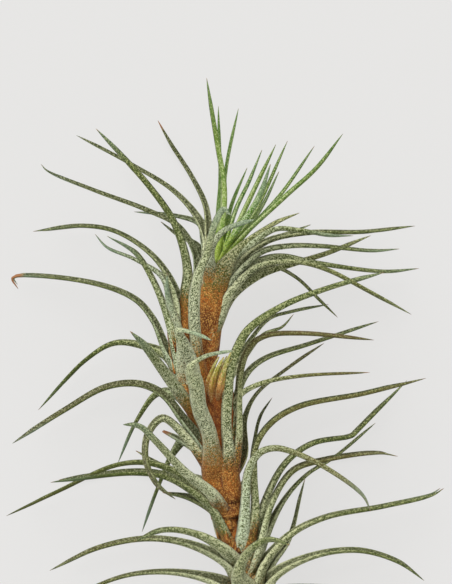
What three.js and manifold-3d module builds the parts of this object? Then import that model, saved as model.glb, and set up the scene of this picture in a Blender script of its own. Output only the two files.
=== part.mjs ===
// Air plant with thread-like leaves: a leafy cut stem with three growing shoots, lying on a surface.
// Millimetres. +Z is up from the surface, +Y runs along the stem to the growing tip, and +X is to
// the right seen from above. The origin is on the surface, under the middle of the plant.
import * as THREE from "three";
import { mergeVertices } from "three/addons/utils/BufferGeometryUtils.js";
import Module from "manifold-3d";

const wasm = await Module();
wasm.setup();

// Driving dimensions
const LEAF_THICKNESS = 0.66;
const SHEATH_WIDTH = 4.8;
const SHEATH_LENGTH = 9;
const SHEATHED_LENGTH = 26;
const CHANNEL_LIFT = 0.26;
const NARROWEST_BLADE = 0.72;
const STEPS_PER_SPAN = 2;
const STEM_SIDES = 8;
const UNDER_LEAVES = 9;
const UNDER_LEAF_SPAN = 0.115;
const ROOT_DEPTH = 0.5;
const STEM_LINE_POINTS = 60;
const JOINT_GAP = 0.3;
const SMALLEST_EDGE = 0.02;
const SEED = 20117;

// Stems: [radius at the foot, radius at the tip, route of x, y and height]
const STEMS = {
  tall: [2.5, 2.0, [
    [6.5, -56.15, 20.5], [5.2, -48, 21.5], [2, -36, 23.5], [-0.3, -25, 24.5], [-2.5, -15, 25],
    [-4.3, -5, 25], [-4.5, 2, 25], [-2.7, 11, 25.5], [-0.9, 18, 26],
  ]],
  left: [2.1, 1.7, [[-2.2, -17, 24], [-4.6, -10.5, 23], [-7.4, -3, 22.5], [-8.4, 3, 22.7], [-8.2, 10, 23.2]]],
  short: [2.0, 1.6, [[2, -31, 24.8], [1, -26, 26], [-0.4, -18, 27.6], [-0.8, -11, 28.8], [-0.9, -5.6, 29.8]]],
  tallHeart: [1.7, 0.8, [[-0.8, 18.6, 26], [0.2, 21.5, 26.2], [1.2, 24.5, 26.4]]],
  shortHeart: [1.3, 0.7, [[-0.9, -5.1, 30], [-0.7, -3.2, 30.3], [-0.4, -1.6, 30.6]]],
};

// Leaves: [blade width, [height of the root, middle and tip], route of x and y from root to tip].
// U leaves go up to the left, L left, R right and F to the front, H are the heart's, E are the
// lowest on the stem, and T are the young tuft's. Each group is numbered from the top down.
const TALL_LEAVES = {
  U2: [1.1, [25.5, 22.5, 21], [[-2.9, 15.5], [-3.8, 20], [-3.8, 24.3], [-5.8, 29], [-10.4, 34.1],
    [-18.7, 39.3], [-29.67, 45.17]]],
  U3: [1.1, [26.5, 25, 27], [[-2.3, 15], [-3.3, 20], [-3.4, 25], [-3.9, 31], [-6.5, 36.7],
    [-11.3, 44.3], [-13.35, 48.1]]],
  U5: [0.8, [25, 17, 13], [[-2.2, 17], [-4, 24], [-5.05, 27.3], [-9.2, 28.9], [-18.15, 29.9]]],
  U6: [0.75, [24, 17, 13], [[-3, 14], [-4.3, 19], [-5.4, 22.7], [-10, 25.6], [-12.8, 27.9]]],
  F3: [2.3, [26.2, 36, 44], [[-4.6, -4], [-5.3, 3], [-5.8, 10], [-5.2, 16.5], [-3.4, 21.1], [-1.75, 27.4],
    [0, 30.1], [1.25, 29]]],
  F4: [1.5, [26.8, 34, 42], [[-2.6, 13], [-2.8, 18], [-2.3, 22.8], [0, 25.9], [6, 28.2]]],
  F5: [1.5, [27, 31.4, 30], [[-2.9, 10.6], [-1.6, 15], [0.6, 19.2], [3.6, 22.9], [10, 27.4], [15, 29.6]]],
  R1: [1.5, [27.2, 32, 33], [[-1.8, 12.5], [2, 20.4], [5.6, 23.4], [10.1, 26.3], [15.1, 26.1], [20.9, 25.1],
    [25.7, 25]]],
  R2: [1.3, [26.5, 27, 26], [[-0.6, 11.5], [3.5, 20], [6.8, 22.9], [10.1, 24.45], [16.8, 25.6], [28, 25.8],
    [38.1, 27]]],
  R2b: [0.8, [24, 20, 17], [[0, 14], [4, 20.5], [9, 24], [13.5, 25.8], [17.3, 27.3]]],
  R3: [1.3, [27, 28.6, 29], [[-0.6, 10], [3.5, 18.3], [7.6, 21.8], [12.6, 22.9], [19.3, 22.9], [29.6, 22],
    [34.95, 22.4]]],
  R4: [1.4, [25.4, 26.2, 25], [[-0.6, 8.5], [2.4, 15.9], [5.1, 18.9], [8.4, 20.5], [11.8, 20.9], [18.4, 19.6],
    [31.9, 17.9], [38.9, 18.5]]],
  R5: [1.3, [27, 29, 31], [[-1, 7], [1.6, 13.4], [5.1, 17.7], [8.4, 19.4], [15.1, 19.7], [20.9, 18.1],
    [28.8, 14], [37.3, 9.3]]],
  R6: [0.75, [24.5, 20, 16.5], [[-1, 6.5], [1.8, 13], [5.9, 17.4], [9.6, 18.8], [14.3, 16.7], [19.3, 11.9],
    [22.7, 8.7]]],
  R8: [1.5, [26, 24, 20], [[-2.4, 2], [-0.6, 8.6], [2.3, 13.4], [7.6, 17.2], [14.3, 19.5], [20.9, 21.6],
    [29.3, 25.1]]],
  R10: [0.8, [24, 17, 13], [[-3, -9], [-0.4, -4], [3.4, 1.4], [8.9, 8.3], [13.4, 9.8], [20.9, 11.3]]],
  R11: [0.8, [24, 20, 16], [[-2.8, -11], [0.2, -5.6], [4.2, 0.8], [7.9, 5.3], [11.6, 6.8], [13.85, 9.3]]],
  F1: [2.4, [26, 39, 53], [[-4.2, -15], [-5.6, -10.5], [-6.7, -4.5], [-7.5, 0], [-9, 4], [-9.2, 6], [-6.1, 5.6],
    [-2.5, 4.2]]],
  F2: [3.2, [26, 42, 57], [[-1.5, -23], [-2.8, -15], [-4.8, -9.5], [-5.4, -5], [-6.6, -1.3], [-4, 0.9],
    [2, 2.25]]],
  L10: [1.6, [26, 27, 25], [[-1.8, -23], [-4.9, -17.5], [-8.9, -11.2], [-12.4, -6.8], [-17.2, -4.7],
    [-23.6, -5.3], [-31.8, -9.8], [-42.4, -16.5]]],
  L12: [1.8, [26, 30, 33], [[-2, -24.8], [-4.7, -20.3], [-6.6, -17], [-8.8, -14.1], [-12.3, -11.5], [-15.1, -14.5],
    [-15.6, -19.5], [-13.5, -24.3], [-9.8, -27.5]]],
  L13: [1, [22, 17, 12], [[0.4, -33], [-2.6, -30.2], [-7.2, -27.6], [-12.4, -26.5]]],
  L14: [2.2, [25.6, 38, 47], [[0, -31.3], [-2.9, -26.6], [-8.5, -21.6], [-13.7, -15.9], [-17, -12.8],
    [-20.1, -12.5]]],
  L15: [0.8, [25.4, 23, 21], [[-1.8, -22], [-5, -19], [-9, -16], [-12.4, -14.1]]],
  L15b: [0.75, [22.5, 11.6, 5], [[-3, -17], [-7, -15.6], [-10.3, -18.9], [-13.2, -25.2], [-16.6, -34.5]]],
  L15c: [0.75, [23, 18.4, 14], [[-0.6, -28], [-5, -24.8], [-9.9, -22.7], [-17.8, -18.1]]],
  L17: [1.2, [23.5, 22, 19], [[-0.4, -31], [-4.4, -26.4], [-9.7, -22.35], [-15, -20.5], [-21.7, -20.9],
    [-33.4, -26.2], [-43.75, -31.1]]],
  L18: [1.5, [26, 26.6, 24], [[1.2, -35.5], [-2.9, -29.5], [-7.2, -25.6], [-12.1, -23.1], [-18.2, -22.45],
    [-29.3, -23.6], [-34.8, -24.3]]],
  R14: [0.8, [24, 17, 12], [[0.2, -24.5], [3.6, -19], [4.2, -11.5], [6.5, -6.7], [12.8, -1.5], [20, 3.5]]],
  R16: [1, [23.6, 12, 5], [[2.6, -31], [5, -24], [5.9, -16.8], [7.2, -11.3], [9.6, -7.5]]],
  R17: [1.3, [25.4, 26.4, 25], [[3.8, -40], [6.4, -31], [6, -22.6], [6.4, -17], [9.4, -12.5], [15, -9.2],
    [28, -6.6], [40.3, -3.45]]],
  R18: [1.7, [25, 32, 36], [[3.2, -38.5], [4.4, -28.5], [5, -21.7], [7.2, -18.3], [10, -17.4], [13.4, -18.05],
    [20.1, -21.2], [27.5, -26.65], [29.15, -29.9]]],
  R19: [1.3, [24, 23, 20], [[4, -42], [6.6, -34.6], [9.3, -25.6], [12.8, -20], [17.8, -16.55], [25.6, -15],
    [29.3, -11.4], [36.6, -3.9]]],
  R20: [1, [22, 18.6, 16], [[4.4, -43.5], [8, -36.6], [11.8, -28.3], [16.4, -23], [22.3, -19.2],
    [30.3, -12.5]]],
  R21: [1.2, [25.4, 24.6, 23], [[4.4, -43], [7.5, -37], [9.2, -29.3], [13.8, -22.1], [20, -20],
    [31, -18.5], [34.7, -19.1]]],
  R22: [0.8, [21.5, 14, 8], [[5, -46], [9.4, -41], [13, -36], [15.3, -27.3], [16.2, -23.8]]],
  R23: [1.4, [23.6, 24, 23], [[5.4, -47.5], [8, -41.5], [13, -35], [20.1, -31.4], [32, -29.15],
    [41.6, -26.9], [43.9, -25.5]]],
  E1: [1.4, [25, 26, 21], [[3.6, -46], [0, -40.6], [-7, -36.8], [-15, -35.6], [-25, -37.4], [-35, -42]]],
  E2: [1.2, [23, 18, 11], [[4, -49], [-1, -45], [-9, -42.6], [-19, -43], [-28, -46.4], [-34, -50.4]]],
  E3: [1.4, [24, 26, 22], [[5.6, -49], [10.5, -43], [18, -39], [27, -38], [35, -40.4], [40, -44]]],
  E4: [1.2, [22, 16, 10], [[6, -51], [11, -47.4], [19, -45.6], [27, -46.6], [33.6, -50.6]]],
  E5: [2, [25.4, 36, 47], [[4.2, -49], [3, -43], [5, -38], [9, -35.4], [13, -36.4]]],
  E6: [1.8, [25.6, 33, 40], [[3, -43.5], [-0.4, -38], [-5.4, -34.6], [-12, -33.6], [-18, -35.8]]],
};
const LEFT_LEAVES = {
  U1: [1.6, [24.6, 28.4, 31], [[-8.2, 3], [-8.2, 11], [-7.6, 18.5], [-10.1, 27.4], [-15.2, 34.95],
    [-25.67, 46.4]]],
  U4: [1.2, [22, 19, 18], [[-7.4, 6], [-6.2, 15], [-5.9, 21], [-9.2, 26.8], [-15.35, 30.05], [-26.6, 34.3],
    [-35.6, 38.1], [-36.8, 39.4]]],
  L4: [1.2, [24.6, 27.2, 26], [[-8.9, 3.5], [-9.6, 11.9], [-13.4, 19.9], [-21.2, 25.6], [-28.2, 27],
    [-38.25, 25.9]]],
  L5: [0.75, [21.4, 17, 14], [[-8.9, 6], [-12.3, 16.35], [-18, 20.3], [-23.7, 22.8], [-26, 25.4]]],
  L6: [1.6, [23.4, 24.6, 24], [[-7, -7], [-9.8, 1], [-11.3, 8], [-14.3, 15.9], [-18, 21.7], [-23.5, 25]]],
  L7: [1.4, [22.6, 23, 22], [[-6.6, -9], [-9.2, -3.4], [-12, 2.4], [-14.3, 8], [-18, 12.3], [-27.2, 15.7],
    [-42.4, 16.6], [-41.3, 14.4]]],
  F0: [1.9, [24.6, 32, 38], [[-7.8, -4.5], [-9.3, 6.5], [-11.4, 13], [-11.4, 17.6]]],
  L8: [2.4, [23.8, 35, 47], [[-4.6, -14.5], [-6.4, -11.4], [-8.1, -8.2], [-12.6, -1.6], [-16.4, 3.6], [-18.7, 6]]],
  L9: [1.3, [21.4, 18, 14.5], [[-7.2, -5.6], [-11.6, 0.4], [-16.4, 2.9], [-22.1, 3.5], [-27.9, 0.1],
    [-37.4, -9.9]]],
  L11: [0.8, [21.4, 16, 11], [[-5.6, -11.6], [-9.7, -7.3], [-13.2, -6.6], [-17.4, -11.7], [-21.4, -20.5]]],
};
const SHORT_LEAVES = {
  R9: [2.1, [29.6, 33, 28], [[0.9, -21], [0.6, -13], [0.8, -7], [1.2, -2.5], [2.7, 2.4], [4.9, 6.2],
    [11.4, 10.8], [20.1, 14.3], [31.9, 17.7]]],
  R12: [1.5, [27.4, 30, 30], [[3.2, -22], [3, -15], [2.9, -7], [3.5, -1], [5.3, 3.1], [8.3, 5], [15.1, 5.5],
    [29.85, 4.2]]],
  R13: [1.2, [27.4, 26.4, 25], [[1, -15.5], [2.6, -8.4], [3.7, -4.2], [5.6, -1.4], [8.9, 0.8], [16.5, 3.2],
    [30.8, 7.9]]],
  R15: [1.1, [27.4, 30, 31], [[0.8, -17], [1.2, -10.6], [3.2, -6.8], [7.3, -4.5], [15.1, -3], [29, -2.25]]],
};
const TALL_HEART_LEAVES = {
  H1: [1.2, [27.2, 28, 28], [[-1.5, 19.4], [-0.1, 27.6], [0, 35.4], [-1.3, 43.2], [-3.57, 56.57]]],
  H2: [0.8, [25.6, 24.4, 23], [[-1.2, 20.4], [-1, 30.3], [-0.75, 36], [-1.22, 51]]],
  H3: [0.8, [26.2, 25.6, 24], [[-0.6, 20.4], [0.2, 36.9], [2.8, 50.5]]],
  H4: [0.75, [25, 22.6, 21], [[-0.2, 20.6], [1.25, 30.2], [4.55, 38.67]]],
  H5: [1, [26.6, 26.2, 25.4], [[-0.2, 19.6], [2.3, 30.05], [5, 36], [7.5, 42.2]]],
  H6: [1.2, [26.6, 27.6, 28.6], [[0, 20], [4.2, 30.4], [10.26, 43.25]]],
  H7: [1.6, [27.2, 29.8, 31.4], [[-0.6, 19.6], [2.3, 25], [7, 32.8], [9.2, 39.3]]],
  H8: [0.9, [26.2, 26, 26], [[0.6, 20.4], [6.1, 29.7], [12.6, 44]]],
  H9: [0.8, [25.2, 23.4, 22], [[0.6, 20], [7.2, 30.2], [10.9, 37.9]]],
  H10: [1.2, [26.8, 29, 29], [[0.5, 19.6], [4.85, 25.9], [12.2, 32.9], [18.5, 38.65], [23.65, 45.4]]],
  H11: [0.9, [26, 25.4, 25], [[0.7, 19.8], [5.5, 26.6], [11.7, 33.8], [18, 43]]],
};
const SHORT_HEART_LEAVES = {
  T1: [1.2, [30, 32, 32.4], [[-1.3, -4.8], [-2.3, -2], [-1.05, 0.9]]],
  T2: [1.3, [31, 33, 33.8], [[-1, -4.6], [-1.2, -1.6], [-0.1, 0.8]]],
  T3: [1.1, [30, 31.4, 31.8], [[-0.8, -4.6], [-0.4, -1.4], [0.5, 1]]],
  T4: [1.3, [31, 33.2, 34.4], [[-0.6, -4.6], [0.3, -1.2], [1.3, 1.8]]],
  T5: [1.1, [30, 32, 33.4], [[-0.5, -4.6], [0.9, -1.4], [2.1, 1.4]]],
};

// Each of these leaves has another on the far side of the stem, which follows the same line seen
// from above but goes down. The three that rest touch the surface in a low arc.
const FAR_SIDE = [
  "U3", "R2", "R4", "R5", "R8", "L10", "L17", "L18", "R17", "R19", "R21", "R23", "E1", "E2", "E3", "E4",
];
const FAR_SIDE_LEFT = ["U1", "L4", "L6", "L7", "L9"];
const RESTING = ["U3", "L18", "R21"];

// Park-Miller draw, the same each run
let state = SEED;
function draw(low, high) {
  state = (state * 16807) % 2147483647;
  return low + ((high - low) * state) / 2147483647;
}

function asSolid(geometry) {
  geometry.deleteAttribute("normal");
  geometry.deleteAttribute("uv");
  const merged = mergeVertices(geometry, 1e-4);
  return new wasm.Manifold(new wasm.Mesh({
    numProp: 3,
    vertProperties: merged.attributes.position.array,
    triVerts: new Uint32Array(merged.index.array),
  }));
}

// A prism, or a cone where it is pointed, whose rings follow a curve. sectionAt gives the ring's
// corners at a distance from the root as [sideways, inwards], clockwise from the inner side.
function sweep(curve, inward, steps, corners, pointed, sectionAt) {
  const form = new THREE.CylinderGeometry(pointed ? 0 : 1, 1, 1, corners, steps);
  const centres = curve.getPoints(steps);
  const distances = [0];
  for (let i = 1; i <= steps; i += 1) {
    distances.push(distances[i - 1] + centres[i].distanceTo(centres[i - 1]));
  }
  const facing = inward.clone();
  const rings = centres.map((centre, i) => {
    const along = curve.getTangent(i / steps);
    facing.addScaledVector(along, -facing.dot(along)).normalize();
    const sideways = new THREE.Vector3().crossVectors(along, facing);
    return { centre, facing: facing.clone(), sideways, section: sectionAt(distances[i], distances[steps]) };
  });
  const place = form.attributes.position;
  const corner = new THREE.Vector3();
  for (let i = 0; i < place.count; i += 1) {
    corner.fromBufferAttribute(place, i);
    const ring = rings[Math.round((corner.y + 0.5) * steps)];
    const onAxis = Math.hypot(corner.x, corner.z) < 1e-6;
    const turn = Math.round((Math.atan2(corner.x, corner.z) / (2 * Math.PI)) * corners + corners) % corners;
    const [sideways, inwards] = onAxis ? [0, 0] : ring.section[turn];
    corner.copy(ring.centre).addScaledVector(ring.sideways, sideways).addScaledVector(ring.facing, inwards);
    place.setXYZ(i, corner.x, corner.y, corner.z);
  }
  return asSolid(form);
}

// Heights follow the parabola through the root's, the middle's and the tip's, and the root is sunk
// part of the way to the stem's middle line.
function leafCurve(heights, route, stemLine) {
  const [atRoot, atMiddle, atTip] = heights;
  const lengths = [0];
  for (let i = 1; i < route.length; i += 1) {
    lengths.push(lengths[i - 1] + Math.hypot(route[i][0] - route[i - 1][0], route[i][1] - route[i - 1][1]));
  }
  const points = route.map(([x, y], i) => {
    const share = lengths[i] / lengths[route.length - 1];
    const height = atRoot * (1 - share) * (1 - 2 * share) + 4 * atMiddle * share * (1 - share)
      + atTip * share * (2 * share - 1);
    return new THREE.Vector3(x, y, height);
  });
  const nearest = stemLine.reduce((best, point) => (
    point.distanceTo(points[0]) < best.distanceTo(points[0]) ? point : best));
  points[0].lerp(nearest, ROOT_DEPTH);
  return new THREE.CatmullRomCurve3(points);
}

// A leaf's wide sheath clasps the stem and narrows to a channelled blade with a fine tip.
function leaf([width, heights, route], stemLine, clearance) {
  const curve = leafCurve(heights, route, stemLine);
  const inward = curve.getPoint(0).sub(curve.getPoint(0.5)).setY(0);
  const sectionAt = (distance, length) => {
    const sheathWidth = SHEATH_WIDTH * Math.min(1, length / SHEATHED_LENGTH);
    const blade = Math.max(NARROWEST_BLADE, width * (1.15 - (0.65 * distance) / length));
    const wide = blade + Math.max(0, sheathWidth - blade) * Math.exp(-((distance / SHEATH_LENGTH) ** 2));
    const half = wide / 2 + clearance;
    const back = LEAF_THICKNESS / 2 + clearance;
    const margin = CHANNEL_LIFT * (wide - NARROWEST_BLADE) + clearance;
    return [[0, back], [half, margin], [0.5 * half, -back], [-0.5 * half, -back], [-half, margin]];
  };
  return sweep(curve, inward, (route.length - 1) * STEPS_PER_SPAN, 5, true, sectionAt);
}

function stemCurve(route) {
  return new THREE.CatmullRomCurve3(route.map((point) => new THREE.Vector3(...point)));
}

function stem([foot, tip, route], clearance) {
  const curve = stemCurve(route);
  const sectionAt = (distance, length) => {
    const radius = foot + ((tip - foot) * distance) / length + clearance;
    return Array.from({ length: STEM_SIDES }, (_, side) => {
      const turn = (side / STEM_SIDES) * 2 * Math.PI;
      return [radius * Math.sin(turn), radius * Math.cos(turn)];
    });
  };
  const steps = (route.length - 1) * STEPS_PER_SPAN;
  return sweep(curve, new THREE.Vector3(0, 0, 1), steps, STEM_SIDES, false, sectionAt);
}

// The far side's leaf starts lower on the stem's underside, and stops short of the other's tip.
function farLeaf(name, leaves, stemRoute) {
  const [width, , route] = leaves[name];
  const under = stemCurve(stemRoute);
  const rootY = route[0][1] - 2;
  let share = 0;
  while (share < 1 && under.getPointAt(share).y < rootY) share += 0.01;
  const root = under.getPointAt(Math.min(1, share));
  const reach = draw(0.55, 0.85);
  const [before, tip] = route.slice(-2);
  const end = [before[0] + (tip[0] - before[0]) * reach, before[1] + (tip[1] - before[1]) * reach];
  const heights = RESTING.includes(name)
    ? [root.z - 2, 2.25, 2.25]
    : [root.z - 2, draw(9, 14), draw(2.5, 6)];
  return [width, heights, [[root.x, rootY], ...route.slice(1, -1), end]];
}

// Leaves on the stem's underside arch forward under it, each leaning a little to the other side.
function underLeaves(stemRoute) {
  const under = stemCurve(stemRoute);
  return Array.from({ length: UNDER_LEAVES }, (_, i) => {
    const share = 0.12 + (0.5 * i) / UNDER_LEAVES;
    const aside = (i % 2 ? 1 : -1) * draw(0.5, 1.4);
    const route = [0, 0.4, 1, 1.8].map((lean, k) => {
      const over = under.getPointAt(share + UNDER_LEAF_SPAN * k);
      return [over.x + lean * aside, over.y];
    });
    return [draw(1.2, 1.7), [under.getPointAt(share).z - 1.6, draw(9, 12), draw(2, 4)], route];
  });
}

const farLeaves = {
  tall: [
    ...FAR_SIDE.map((name) => farLeaf(name, TALL_LEAVES, STEMS.tall[2])),
    ...underLeaves(STEMS.tall[2]),
  ],
  left: FAR_SIDE_LEFT.map((name) => farLeaf(name, LEFT_LEAVES, STEMS.left[2])),
};

function shoot(stemShape, leaves, far, clearance = 0) {
  const stemLine = stemCurve(stemShape[2]).getSpacedPoints(STEM_LINE_POINTS);
  return wasm.Manifold.union([
    stem(stemShape, clearance),
    ...[...Object.values(leaves), ...far].map((shape) => leaf(shape, stemLine, clearance)),
  ]);
}

// What a cut leaves loose is dropped, and the lowest leaves are flat where they rest.
const underSurface = asSolid(new THREE.BoxGeometry(200, 200, 20).translate(0, 0, -10));
function finished(solid) {
  const bodies = solid.subtract(underSurface).decompose();
  const whole = bodies.reduce((largest, body) => (body.volume() > largest.volume() ? body : largest));
  return whole.simplify(SMALLEST_EDGE);
}

const tall = shoot(STEMS.tall, TALL_LEAVES, farLeaves.tall);
const left = shoot(STEMS.left, LEFT_LEAVES, farLeaves.left);
const short = shoot(STEMS.short, SHORT_LEAVES, []);
const tallHeart = shoot(STEMS.tallHeart, TALL_HEART_LEAVES, []);
const shortHeart = shoot(STEMS.shortHeart, SHORT_HEART_LEAVES, []);

const aroundTall = shoot(STEMS.tall, TALL_LEAVES, farLeaves.tall, JOINT_GAP);
const aroundShort = shoot(STEMS.short, SHORT_LEAVES, [], JOINT_GAP);

const leafGreen = new THREE.MeshStandardMaterial({ color: 0x76824e, roughness: 0.7, metalness: 0 });
const heartGreen = new THREE.MeshStandardMaterial({ color: 0x9dbb4c, roughness: 0.6, metalness: 0 });
const tuftGreen = new THREE.MeshStandardMaterial({ color: 0xaaa03c, roughness: 0.6, metalness: 0 });

function mesh(name, solid, material) {
  const { vertProperties, triVerts } = finished(solid).getMesh();
  const geometry = new THREE.BufferGeometry()
    .setAttribute("position", new THREE.BufferAttribute(vertProperties, 3))
    .setIndex(new THREE.BufferAttribute(triVerts, 1));
  const piece = new THREE.Mesh(geometry, material);
  piece.name = name;
  return piece;
}

const plant = new THREE.Group();
plant.add(mesh("tall_shoot", tall, leafGreen));
plant.add(mesh("left_shoot", left.subtract(aroundTall), leafGreen));
plant.add(mesh("short_shoot", short.subtract(aroundTall), leafGreen));
plant.add(mesh("tall_heart", tallHeart.subtract(aroundTall), heartGreen));
plant.add(mesh("short_heart", shortHeart.subtract(aroundShort).subtract(aroundTall), tuftGreen));

export default plant;
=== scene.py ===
import math
import random

import bmesh
import bpy
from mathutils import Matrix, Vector


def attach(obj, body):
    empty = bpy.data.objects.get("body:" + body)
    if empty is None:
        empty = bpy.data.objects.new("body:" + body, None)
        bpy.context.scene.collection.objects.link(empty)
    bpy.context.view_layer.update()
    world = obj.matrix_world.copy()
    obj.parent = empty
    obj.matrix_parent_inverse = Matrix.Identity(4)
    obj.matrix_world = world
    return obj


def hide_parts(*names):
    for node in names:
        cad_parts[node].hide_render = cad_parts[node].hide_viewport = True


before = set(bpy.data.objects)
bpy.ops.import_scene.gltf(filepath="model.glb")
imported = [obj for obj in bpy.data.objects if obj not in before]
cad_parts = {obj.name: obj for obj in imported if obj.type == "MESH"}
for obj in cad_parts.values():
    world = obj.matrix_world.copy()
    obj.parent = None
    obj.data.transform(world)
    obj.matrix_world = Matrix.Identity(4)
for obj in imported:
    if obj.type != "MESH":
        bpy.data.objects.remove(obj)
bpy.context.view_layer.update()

# Camera
# The plant lies on a surface, and the picture looks straight down on it, with its growing tip at
# the top. A long lens from far above keeps leaf sizes alike near and far.
MM = 0.001
SEEN_HEIGHT = 116.8 * MM
SEEN_MIDDLE = Vector((0.3 * MM, 13.8 * MM, 25 * MM))
CAMERA_AWAY = 2.6
SENSOR = 36.0

camera_data = bpy.data.cameras.new("camera")
camera_data.sensor_width = SENSOR
camera_data.lens = SENSOR * CAMERA_AWAY / SEEN_HEIGHT
camera_data.clip_end = 50
camera = bpy.data.objects.new("camera", camera_data)
camera.location = SEEN_MIDDLE + Vector((0, 0, CAMERA_AWAY))
bpy.context.scene.collection.objects.link(camera)
bpy.context.scene.camera = camera

# Stems
# Each shoot has a thin woody stem, seen only at the cut lower end, where the rings are the scars
# of fallen leaves. The cut shows paler wood inside a rim of bark. Each stem runs on a smooth line.
# Here and below, lengths are in mm.
STEM_SIDES = 24
STEM_STEPS_PER_SPAN = 14
SCAR_SPACING = 2.4
SCAR_RISE = 0.22
STEM_LINE_POINTS = 60
FINE_LINE_POINTS = 600
CUT_RIM_WIDTH = 0.5
CUT_HOLLOW = 0.12
CUT_WOOD_WIDTH = 0.9
CUT_MIDDLE_RISE = 0.1
# Real wood fibres are too fine to show, so bundles of them are drawn
FIBRE_WIDTH = 0.25
FIBRE_LENGTH = 2.5

# [radius at the foot, radius at the tip, route of x, y and height], in mm
STEMS = {
    "tall": [2.5, 2.0, [
        [6.5, -56.15, 20.5], [5.2, -48, 21.5], [2, -36, 23.5], [-0.3, -25, 24.5], [-2.5, -15, 25],
        [-4.3, -5, 25], [-4.5, 2, 25], [-2.7, 11, 25.5], [-0.9, 18, 26],
    ]],
    "left": [2.1, 1.7, [
        [-2.2, -17, 24], [-4.6, -10.5, 23], [-7.4, -3, 22.5], [-8.4, 3, 22.7], [-8.2, 10, 23.2],
    ]],
    "short": [2.0, 1.6, [
        [2, -31, 24.8], [1, -26, 26], [-0.4, -18, 27.6], [-0.8, -11, 28.8], [-0.9, -5.6, 29.8],
    ]],
    "tall_heart": [1.7, 0.8, [[-0.8, 18.6, 26], [0.2, 21.5, 26.2], [1.2, 24.5, 26.4]]],
    "short_heart": [1.3, 0.7, [[-0.9, -5.1, 30], [-0.7, -3.2, 30.3], [-0.4, -1.6, 30.6]]],
}


def linear(hex_colour):
    """Linear colour of an sRGB hex value."""
    shares = [int(hex_colour[i:i + 2], 16) / 255 for i in (1, 3, 5)]
    return [c / 12.92 if c <= 0.04045 else ((c + 0.055) / 1.055) ** 2.4 for c in shares] + [1.0]


def add(material, kind, inputs, **settings):
    """A node with its settings, whose inputs are values or other nodes' outputs."""
    made = material.node_tree.nodes.new(kind)
    for name, value in settings.items():
        setattr(made, name, value)
    for name, value in inputs.items():
        if isinstance(value, bpy.types.NodeSocket):
            material.node_tree.links.new(value, made.inputs[name])
        else:
            made.inputs[name].default_value = value
    return made


def new_material(name):
    """A material that is made of nodes."""
    material = bpy.data.materials.new(name)
    material.use_nodes = True
    return material


def ramp(material, value, stops):
    """A colour that goes from stop to stop, each a place and an sRGB hex value, as a value rises."""
    made = add(material, "ShaderNodeValToRGB", {"Fac": value})
    elements = made.color_ramp.elements
    for element, (place, colour) in zip(elements, (stops[0], stops[-1])):
        element.position = place
        element.color = linear(colour)
    for place, colour in stops[1:-1]:
        elements.new(place).color = linear(colour)
    return made.outputs["Color"]


def coat(material, colour, relief, roughness, specular):
    """Gives a material its colour, its relief if it has one, and how matte it is."""
    shader = material.node_tree.nodes["Principled BSDF"]
    material.node_tree.links.new(colour, shader.inputs["Base Color"])
    if relief:
        material.node_tree.links.new(relief.outputs["Normal"], shader.inputs["Normal"])
    shader.inputs["Roughness"].default_value = roughness
    shader.inputs["Specular IOR Level"].default_value = specular
    return shader


def smooth_line(points, share):
    """A point on the smooth curve through the points, and the curve's direction there. How far apart
    the points are sets how it bends, so it never loops."""
    spans = len(points) - 1
    span = min(int(share * spans), spans - 1)
    here = share * spans - span
    first, second = points[span], points[span + 1]
    before = points[span - 1] if span > 0 else first * 2 - second
    after = points[span + 2] if span + 2 <= spans else second * 2 - first
    steps = [math.sqrt((b - a).length) for a, b in ((before, first), (first, second), (second, after))]
    leave = ((first - before) / steps[0] - (second - before) / (steps[0] + steps[1])
             + (second - first) / steps[1]) * steps[1]
    arrive = ((second - first) / steps[1] - (after - first) / (steps[1] + steps[2])
              + (after - second) / steps[2]) * steps[1]
    cubic = (first - second) * 2 + leave + arrive
    square = (second - first) * 3 - leave * 2 - arrive
    point = first + (leave + (square + cubic * here) * here) * here
    heading = leave + (square * 2 + cubic * 3 * here) * here
    return point, heading.normalized()


def stem_line(name):
    """Points on a stem's middle line, evenly spread."""
    points = [Vector(point) for point in STEMS[name][2]]
    fine = [smooth_line(points, i / FINE_LINE_POINTS)[0] for i in range(FINE_LINE_POINTS + 1)]
    lengths = [0.0]
    for one, other in zip(fine, fine[1:]):
        lengths.append(lengths[-1] + (other - one).length)
    line = []
    at = 0
    for i in range(STEM_LINE_POINTS + 1):
        while at < FINE_LINE_POINTS and lengths[at] < lengths[-1] * i / STEM_LINE_POINTS:
            at += 1
        line.append(fine[at])
    return line


def follow(form, points, inward, steps, around, section_at, layers=()):
    """Wraps a grid round a smooth line, ring by ring. section_at gives, for a distance along it and
    its length in mm, the ring's corners as (sideways, inwards, values), one value for each layer."""
    grid = bmesh.ops.create_grid(form, x_segments=around, y_segments=steps, size=0.5)["verts"]
    rings = []
    facing = inward.copy()
    distance = 0.0
    for step in range(steps + 1):
        centre, along = smooth_line(points, step / steps)
        if rings:
            distance += (centre - rings[-1][0]).length
        facing = (facing - along * facing.dot(along)).normalized()
        rings.append((centre, facing, along.cross(facing), distance))
    sections = [section_at(ring[3], distance) for ring in rings]
    for corner in grid:
        step = round((corner.co.y + 0.5) * steps)
        turn = round((corner.co.x + 0.5) * around) % around
        centre, facing, sideways, _ = rings[step]
        aside, inwards, values = sections[step][turn]
        corner.co = (centre + sideways * aside + facing * inwards) * MM
        corner.co.z = max(corner.co.z, 0.0)
        for layer, value in zip(layers, values):
            corner[layer] = value
    bmesh.ops.remove_doubles(form, verts=grid, dist=1e-7)


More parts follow.
